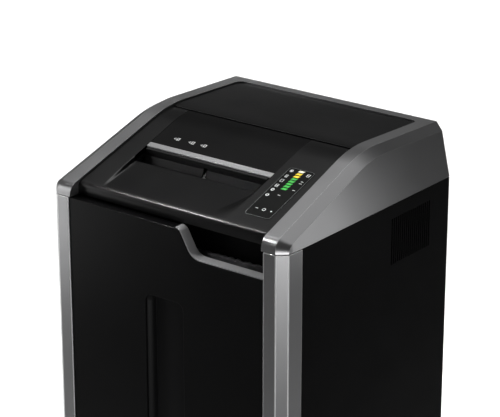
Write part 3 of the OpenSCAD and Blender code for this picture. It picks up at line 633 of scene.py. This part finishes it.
def controls():
    """The glossy overlay with its fine outline, small icons and three key symbols."""
    rounded_copy("control_overlay", 0.3)
    body = body_of_node["control_overlay"]
    printed("overlay_icons", overlay_marks(), body, overlay_t)
    mid_x, mid_y = sum(overlay_x) / 2, sum(overlay_y) / 2
    run = (overlay_y[1] - overlay_y[0]) / math.cos(deck_angle)
    half_x = (overlay_x[1] - overlay_x[0]) / 2 - edge_line
    half_run = run / 2 - edge_line
    outline = round_outline(-half_x, half_x, -half_run, half_run, edge_line_r)
    printed("overlay_outline", [(mid_x, mid_y, (outline, 0.6, True))], body, overlay_t, print_grey)
    for (node, x), shapes in zip(key_x.items(), ((BAR,), (RING,), (DOT,))):
        printed(node + "_symbol", [(x, key_y, shape) for shape in shapes], body_of_node[node],
                overlay_t)


def light_bars(name, first, count, mat):
    """Slanted bar lights, counted from the bottom of the column."""
    bm = bmesh.new()
    corners = ((-light_w / 2 - light_lean, -1), (light_w / 2 - light_lean, -1),
               (light_w / 2 + light_lean, 1), (-light_w / 2 + light_lean, 1))
    for i in range(first, first + count):
        y = light_y + i * light_pitch
        rows = [[bm.verts.new(deck(light_x + u, y + side * light_d / 2 * math.cos(deck_angle), h))
                 for u, side in corners] for h in (overlay_t, overlay_t + light_t)]
        bm.faces.new(rows[0][::-1])
        bm.faces.new(rows[1])
        for j in range(4):
            k = (j + 1) % 4
            bm.faces.new((rows[0][j], rows[0][k], rows[1][k], rows[1][j]))
    obj = from_bmesh(name, bm, mat)
    bevel(obj, 0.12, 2)
    dress(obj, "status_lights")


controls()
light_bars("lights_green", 0, 5, lamp_green)
light_bars("lights_yellow", 5, 2, lamp_yellow)
light_bars("lights_white", 7, 1, lamp_white)
pictogram_x, pictogram_y, pointer_shift = (-107, -76, -51), 172, -7
printed("feed_pictograms",
        [(x + shift, pictogram_y, shape) for x in pictogram_x
         for shift, shape in ((pointer_shift, POINTER), (0, PAGE), (0, SLASH))],
        body_of_node["center_panel"], print_t / 2)

# ------------------------------------------------------------------- cabinet
vent_y, vent_z, vent_columns = (290, 405), (-105, -25), 19
vented_wall = 4


def vented_panel():
    """The right side panel, with its row of upright slots cut clean through."""
    (_, x1), (y0, y1), (z0, z1) = node_box("side_panel_right")
    pitch = (vent_y[1] - vent_y[0]) / vent_columns
    lead = spread(y0, vent_y[0], 6)[:-1]
    edges = [vent_y[0] + pitch * i / 2 for i in range(2 * vent_columns)]
    ys = lead + edges + spread(edges[-1], y1, 2)[1:]
    zs = spread(z0, vent_z[0], 4)[:-1] + [vent_z[0], vent_z[1], z1]
    slots = range(len(lead), len(lead) + 2 * vent_columns, 2)
    bm = bmesh.new()
    grid = [[bm.verts.new(head(x1, y, z)) for z in zs] for y in ys]
    for i in range(len(ys) - 1):
        for j in range(len(zs) - 1):
            if i not in slots or zs[j] != vent_z[0]:
                bm.faces.new((grid[i][j], grid[i + 1][j], grid[i + 1][j + 1], grid[i][j + 1]))
    obj = from_bmesh("side_panel_right_finished", bm, MATERIALS["black_sheet"])
    thick = obj.modifiers.new("thickness", "SOLIDIFY")
    thick.thickness = vented_wall * MM
    thick.offset = -1
    bevel(obj, 0.4, 2, angle=35)
    dress(obj, "side_panel_right")


vented_panel()


def grip_recess():
    """The pull recess: a sloping left wall, steeper walls elsewhere, and a floor set deep."""
    flange = 8.5
    left_slope, wall_slope = 8, 3
    (x0, x1), (y0, y1), (z0, z1) = node_box("grip_cup")
    x0, x1, z0, z1 = x0 + flange, x1 - flange, z0 + flange, z1 - flange
    shallow, deep = 14, y1 - 2.5 - y0

    def outline(inset, sunk):
        """One level of the wall: the left side slopes in, and the floor drops to the right."""
        corners = round_outline(x0 + left_slope * inset, x1 - wall_slope * inset,
                                z0 + wall_slope * inset, z1 - wall_slope * inset, 13)
        return [head(x, y0 + sunk * (shallow + (deep - shallow) * smooth((x - x0) / (x1 - x0))), z)
                for x, z in corners]

    lip = round_outline(x0 - flange + 1, x1 + flange - 1, z0 - flange + 1, z1 + flange - 1, 20)
    rows = [[head(x, y0, z) for x, z in lip]]
    # Share of the slope in, share of the depth: a hollow curve from the lip to the floor
    for inset, sunk in ((0, 0), (0.27, 0.14), (0.6, 0.36), (0.87, 0.64), (1, 1)):
        rows.append(outline(inset, sunk))
    obj = from_rows("grip_cup_finished", rows, MATERIALS["charcoal_plastic"], closed=True)
    bm = bmesh.new()
    bm.from_mesh(obj.data)
    inner = [e for e in bm.edges if e.is_boundary and all(v.co.y > rows[0][0].y + MM for v in e.verts)]
    floor = bmesh.ops.contextual_create(bm, geom=inner)["faces"]
    bmesh.ops.triangulate(bm, faces=floor)
    bmesh.ops.recalc_face_normals(bm, faces=bm.faces)
    bm.to_mesh(obj.data)
    bm.free()
    bevel(obj, 0.8, 2, angle=40)
    dress(obj, "grip_cup")


grip_recess()


def bag():
    """A thin waste bag: it lines the bin, folds over the rim and stands up raggedly in front."""
    dice = random.Random(11)
    step, hem = 5, 90
    (x0, x1), (y0, y1), (_, top) = node_box("bag_frame")
    _, _, (bin_bottom, _) = node_box("waste_bin")
    outline = round_outline(x0, x1, y0, y1, 10, 4)
    path = []
    for (ax, ay), (bx, by) in zip(outline, outline[1:] + outline[:1]):
        steps = max(1, int(math.hypot(bx - ax, by - ay) / step))
        path += [(ax + (bx - ax) * i / steps, ay + (by - ay) * i / steps) for i in range(steps)]
    tear = [dice.uniform(0, 1) for _ in path]
    crease = [dice.uniform(-1, 1) for _ in path]
    # Inset from the bag frame's outer edge, and height: up inside the bin, over the rim and down
    fold = ((13, bin_bottom + 6), (11, -400), (10, -200), (10.5, top - 10), (13.5, top - 5),
            (13, top + 0.6), (7, top + 1.4), (1, top + 1.2), (-1.2, top - 1), (-1.6, top - 12))
    mid_x, mid_y = (x0 + x1) / 2, (y0 + y1) / 2
    rows = []
    for inset, z in fold:
        row = []
        for (x, y), torn, bent in zip(path, tear, crease):
            in_front = y < y0 + 2
            lift = 3.2 + 3.6 * torn if in_front and z > top else 0
            wave = 0.8 * bent if z < top - 9 else 0
            kx = 1 - (inset + wave) / (x1 - mid_x)
            ky = 1 - (inset + wave) / (y1 - mid_y)
            row.append(head(mid_x + (x - mid_x) * kx, mid_y + (y - mid_y) * ky, z + lift))
        rows.append(row)
    obj = from_rows("waste_bag", rows, bag_film, closed=True)
    bm = bmesh.new()
    bm.from_mesh(obj.data)
    low = [e for e in bm.edges if e.is_boundary and all(v.co.z < rows[0][0].z + 1e-5 for v in e.verts)]
    bmesh.ops.contextual_create(bm, geom=low)
    bm.to_mesh(obj.data)
    bm.free()
    shade(obj, 50)
    attach(obj, body_of_node["bag_frame"])


bag()


def screw(name, x, y, z):
    """A pan-head screw in the back panel, with a round socket."""
    rows = []
    # Radius and height of each ring, from the rim of the head in to the socket
    for r, lift in ((3.6, 0), (3.5, 0.9), (2.9, 1.4), (1.5, 1.6), (1.4, 0.5), (0.1, 0.4)):
        rows.append([head(x + u, y + lift, z + v) for u, v in circle(r, 16)])
    obj = from_rows(name, rows, screw_steel, closed=True, caps=True)
    shade(obj, 40)
    attach(obj, body_of_node["rear_panel"])


def rear_screws():
    """Two columns of screws, and one more at the top and the bottom between them."""
    inset, rows = 12, 3
    (x0, x1), (_, y1), (z0, z1) = node_box("rear_panel")
    for column, x in enumerate((x0 + inset, 0, x1 - inset)):
        for row, z in enumerate(spread(z0 + inset, z1 - inset, rows)):
            if column != 1 or row in (0, rows):
                screw(f"rear_screw_{column}_{row}", x, y1, z)


rear_screws()


def inlet_pins():
    """The three flat pins of the mains inlet."""
    half_pin_w, half_pin_h = 1.1, 3.1
    root_in, tip_in = 18, 6.9
    (x0, _), (_, y1), (z0, z1) = node_box("power_inlet")
    mid_z = (z0 + z1) / 2
    for i, x in enumerate((12, 19, 26)):
        outline = round_outline(x0 + x - half_pin_w, x0 + x + half_pin_w,
                                mid_z - half_pin_h, mid_z + half_pin_h, 0.8, 3)
        pin = prism(f"inlet_pin_{i}", outline, y1 - root_in, y1 - tip_in,
                    lambda u, v, w: head(u, w, v), MATERIALS["zinc_steel"])
        shade(pin, 40)
        attach(pin, body_of_node["power_inlet"])


inlet_pins()

# ------------------------------------------------------------ other CAD nodes
# The posts' rounded edges take the near-white metal: painted highlight lines
for node, width, edge in (("post_left", 1.3, silver_edge_painted_highlight), ("post_right", 1.3, silver_edge_painted_highlight),
                          ("notch_trim", 0.6, None), ("side_panel_left", 0.8, None),
                          ("rear_panel", 0.6, None), ("base_pan", 2.0, None),
                          ("drawer_front", 1.2, None), ("waste_bin", 0.8, None),
                          ("bag_frame", 0.8, None), ("power_inlet", 0.4, None),
                          ("power_switch", 0.6, None)):
    rounded_copy(node, width, edge_mat=edge, mat=trim_silver if node == "notch_trim" else None)
for name, obj in frame["nodes"].items():
    obj.data.materials.clear()
    obj.data.materials.append(MATERIALS[slot_of_node[name]])

# -------------------------------------------------------------- stage, light
floor_half = 12


def stage_plane():
    """A plain pale floor, wide enough for every view."""
    bm = bmesh.new()
    bmesh.ops.create_grid(bm, x_segments=8, y_segments=8, size=floor_half)
    floor = from_bmesh("studio_floor", bm, finish_material("pale_floor", (0.86, 0.86, 0.86), 0.85,
                                                           bump=0.02, grain=0.004, mottle=0.01))


stage_plane()


def softbox(name, place, aim, size, power, spread_angle=180):
    """A soft area light that the camera doesn't see; spread_angle narrows its beam."""
    light = bpy.data.lights.new(name, "AREA")
    light.shape = "RECTANGLE"
    light.size, light.size_y = size
    light.energy = power
    light.spread = math.radians(spread_angle)
    obj = bpy.data.objects.new(name, light)
    bpy.context.scene.collection.objects.link(obj)
    obj.location = place
    obj.rotation_euler = (Vector(aim) - Vector(place)).to_track_quat("-Z", "Y").to_euler()
    obj.visible_camera = False


# Name, place, aim, width and height, power in watts, spread in degrees
softbox("overhead", (0, 0.5, 3.4), (0, 0.5, 0), (2.6, 2.0), 15)
softbox("right_front", (1.9, -1.5, 0.4), (0.2, -0.1, 0.6), (0.45, 0.7), 4.4, 120)
softbox("cheek_strip", (0.66, 0.26, 0.67), (0.236, -0.083, 0.8), (0.26, 0.22), 0.09, 100)
softbox("left_front", (-1.0, -0.9, 0.75), (-0.24, -0.2, 0.6), (0.3, 1.2), 2.1, 120)
softbox("high_left", (-1.0, -0.75, 2.1), (0.03, -0.2, 0.8), (0.16, 0.16), 0.13, 10)
softbox("deck_left", (-0.75, -0.02, 1.85), (0.1, -0.18, 0.82), (0.35, 0.35), 0.4, 100)
softbox("rear_left", (-1.16, 1.73, 1.63), (0, 0.1, 0.86), (0.8, 0.6), 0.1, 100)
softbox("backdrop", (-1.95, 2.5, 2.8), (-1.95, 2.5, 0), (4.4, 4.4), 90, 85)
softbox("backdrop_near", (-1.3, 1.6, 1.6), (-0.5, 0.65, 0), (1.0, 0.6), 6, 50)

world_strength = 0.05
world = bpy.data.worlds.new("studio")
bpy.context.scene.world = world
world.use_nodes = True
world.node_tree.nodes["Background"].inputs["Color"].default_value = (1, 1, 1, 1)
world.node_tree.nodes["Background"].inputs["Strength"].default_value = world_strength
bpy.context.scene.view_settings.view_transform = "Standard"

# -------------------------------------------------------------------- camera
azimuth, elevation = math.radians(37.6), math.radians(20.5)
lens, sensor = 153.5, 36
distance, aside, above = 3.3507, 0.1382, 0.0230
back = Vector((math.sin(azimuth) * math.cos(elevation), -math.cos(azimuth) * math.cos(elevation),
               math.sin(elevation)))
right = Vector((math.cos(azimuth), math.sin(azimuth), 0))
up = back.cross(right)
camera = bpy.data.objects.new("camera", bpy.data.cameras.new("camera"))
bpy.context.scene.collection.objects.link(camera)
camera.data.lens = lens
camera.data.sensor_width = sensor
camera.location = head(0, 0, 0) + back * distance + right * aside + up * above
camera.rotation_euler = (-back).to_track_quat("-Z", "Y").to_euler()
bpy.context.scene.camera = camera
